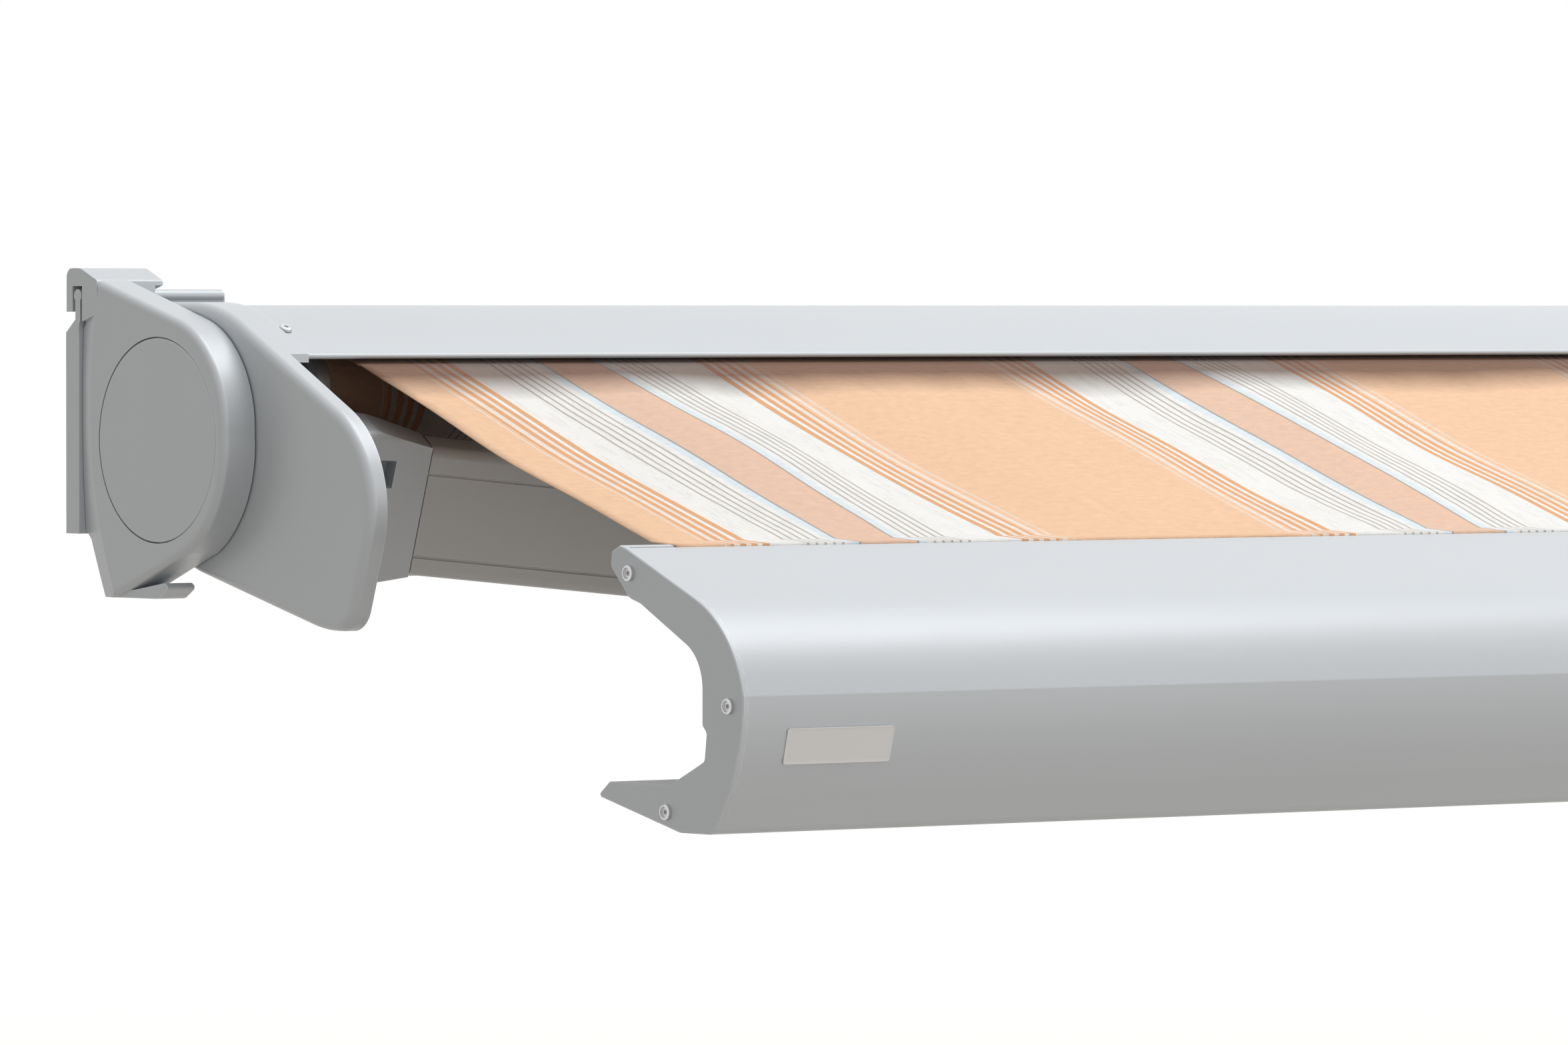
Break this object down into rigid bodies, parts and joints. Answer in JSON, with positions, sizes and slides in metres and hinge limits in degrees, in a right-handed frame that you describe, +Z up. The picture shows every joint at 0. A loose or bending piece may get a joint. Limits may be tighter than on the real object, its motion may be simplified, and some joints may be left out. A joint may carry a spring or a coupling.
{
  "type": "folding-arm cassette awning",
  "caption": "Wall-mounted cassette awning with folding arms, a striped canopy wound on a roller, tilt brackets at both ends and a C-shaped front bar, shown partly open.",
  "frame": {"origin": "centre of the four wall bolts on the wall plane, level with the tilt axis", "axes": "+X along the awning, +Y into the wall, +Z up; the front bar is towards -Y"},
  "size_m": [1.5, 0.5267, 0.2811],
  "materials": {
    "coated_casting": "satin silver-grey powder coat on cast parts",
    "coated_profile": "satin silver-grey powder coat on extrusions",
    "bare_tube": "mill finish",
    "grey_plastic": "moulded, fine grain",
    "steel": "zinc plated",
    "awning_cloth": "woven acrylic with stripes"
  },
  "bodies": {
    "wall_mount": {"wall_rail_left": "coated_profile", "wall_rail_right": "coated_profile", "tilt_bracket_left": "coated_casting", "tilt_bracket_right": "coated_casting", "pivot_cap_left": "coated_casting", "pivot_cap_right": "coated_casting", "tilt_bolts": "steel", "lock_screws": "steel"},
    "cassette": {"cheek_left": "coated_casting", "cheek_right": "coated_casting", "top_cover": "coated_profile", "base_profile": "coated_profile", "cover_screws": "steel", "cheek_screws": "steel", "roller_bearing": "grey_plastic", "gearbox": "grey_plastic", "gearbox_screws": "steel", "shoulder_bracket_left": "coated_casting", "shoulder_bracket_right": "coated_casting", "shoulder_bolts": "steel", "shoulder_pins": "steel"},
    "roller": {"roller_tube": "bare_tube", "roller_plug_left": "grey_plastic", "roller_plug_right": "grey_plastic", "fabric_roll": "awning_cloth"},
    "crank": {"crank_eye": "steel"},
    "left_upper_arm": {"upper_arm_left": "coated_profile", "shoulder_fork_left": "coated_casting", "elbow_fork_left": "coated_casting", "arm_spring_left": "steel"},
    "left_forearm": {"forearm_left": "coated_profile", "elbow_eye_left": "coated_casting", "wrist_eye_left": "coated_casting", "elbow_pin_left": "steel"},
    "right_upper_arm": {"upper_arm_right": "coated_profile", "shoulder_fork_right": "coated_casting", "elbow_fork_right": "coated_casting", "arm_spring_right": "steel"},
    "right_forearm": {"forearm_right": "coated_profile", "elbow_eye_right": "coated_casting", "wrist_eye_right": "coated_casting", "elbow_pin_right": "steel"},
    "front_bar": {"front_bar": "coated_profile", "front_cap_left": "coated_casting", "front_cap_right": "coated_casting", "cap_screws": "steel", "front_bracket_left": "coated_casting", "front_bracket_right": "coated_casting", "front_bracket_bolts": "steel", "front_pins": "steel", "welt_rod": "grey_plastic"},
    "canopy": {"canopy": "awning_cloth"}
  },
  "joints": [
    {"name": "tilt", "type": "hinge", "parent": "wall_mount", "child": "cassette", "pos_m": [0, -0.085, 0], "axis": [1, 0, 0], "range_deg": [-10, 10]},
    {"name": "left_shoulder", "type": "hinge", "parent": "cassette", "child": "left_upper_arm", "pos_m": [-0.684, -0.148, -0.0293], "axis": [0, 0.3123, -0.95], "range_deg": [-19, 39]},
    {"name": "left_elbow", "type": "hinge", "parent": "left_upper_arm", "child": "left_forearm", "pos_m": [-0.25922, -0.3029, -0.08023], "axis": [0, -0.3123, 0.95], "range_deg": [-39, 80]},
    {"name": "left_wrist", "type": "hinge", "parent": "left_forearm", "child": "front_bar", "pos_m": [-0.64916, -0.45112, -0.12896], "axis": [0, 0.3123, -0.95], "range_deg": [-20, 41]},
    {"name": "right_shoulder", "type": "hinge", "parent": "cassette", "child": "right_upper_arm", "pos_m": [0.684, -0.148, -0.0293], "axis": [0, -0.3123, 0.95], "range_deg": [-19.1, 39.1]},
    {"name": "right_elbow", "type": "hinge", "parent": "right_upper_arm", "child": "right_forearm", "pos_m": [0.25922, -0.3029, -0.08023], "axis": [0, 0.3123, -0.95], "range_deg": [-39, 80]},
    {"name": "roller_turn", "type": "hinge", "parent": "cassette", "child": "roller", "pos_m": [0, -0.107, 0.0255], "axis": [1, 0, 0], "range_deg": [-480, 985]},
    {"name": "crank_turn", "type": "hinge", "parent": "cassette", "child": "crank", "pos_m": [0.712, -0.1255, 0], "axis": [0, 0, 1], "range_deg": [-960, 1960]},
    {"name": "canopy_slide", "type": "slide", "parent": "front_bar", "child": "canopy", "axis": [0, -0.95, -0.3123], "range_m": [-0.5, 0.25], "deforming": ["canopy"]}
  ],
  "couplings": [
    {"joint": "left_elbow", "follows": "left_shoulder", "ratio": 2.048},
    {"joint": "left_wrist", "follows": "left_shoulder", "ratio": 1.048},
    {"joint": "right_shoulder", "follows": "left_shoulder", "ratio": 1},
    {"joint": "right_elbow", "follows": "left_shoulder", "ratio": 2.048},
    {"joint": "roller_turn", "follows": "left_shoulder", "ratio": 25},
    {"joint": "crank_turn", "follows": "left_shoulder", "ratio": 50},
    {"joint": "canopy_slide", "follows": "left_shoulder", "m_per_rad": -0.725}
  ]
}
